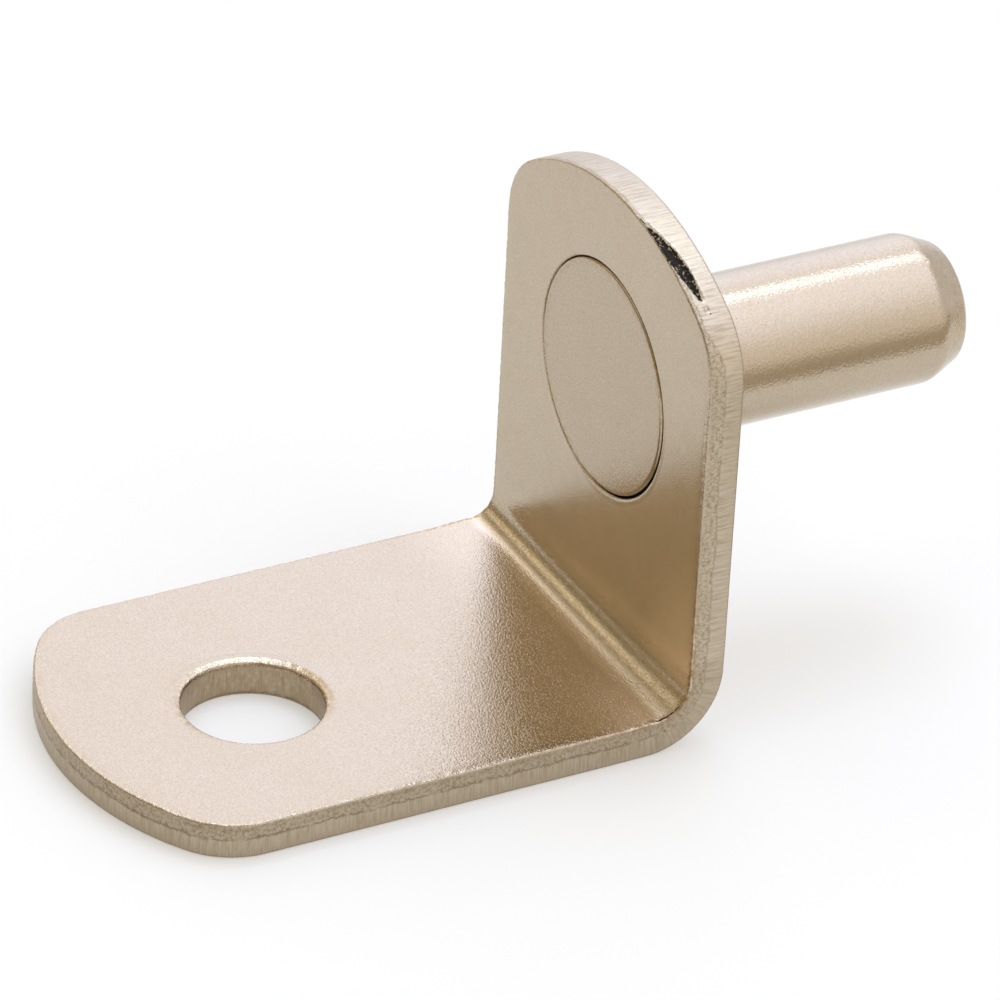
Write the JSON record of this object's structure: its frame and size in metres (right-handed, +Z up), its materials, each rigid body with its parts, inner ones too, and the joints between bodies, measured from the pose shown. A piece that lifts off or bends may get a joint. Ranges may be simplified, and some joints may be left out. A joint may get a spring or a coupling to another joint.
{
  "type": "angled shelf support with pin",
  "caption": "Folded steel bracket with a short arm that carries a shelf, a screw hole in the arm and a tapered steel pin out of its back for a drilled cabinet side.",
  "frame": {"origin": "where the pin's axis meets the back face of the bracket, which is the face that lies against the cabinet's side", "axes": "+Y along the pin, away from the bracket; +Z up, in use; the arm reaches out along -Y; X across the strip"},
  "size_m": [0.0136, 0.0312, 0.0168],
  "materials": {
    "plated_sheet": "warm satin nickel plate over pressed steel sheet, with a fine pebbled grain and sheared edges",
    "plated_pin": "warm satin nickel plate over a turned steel pin"
  },
  "bodies": {
    "root": {"bracket": "plated_sheet", "pin": "plated_pin"}
  },
  "joints": []
}
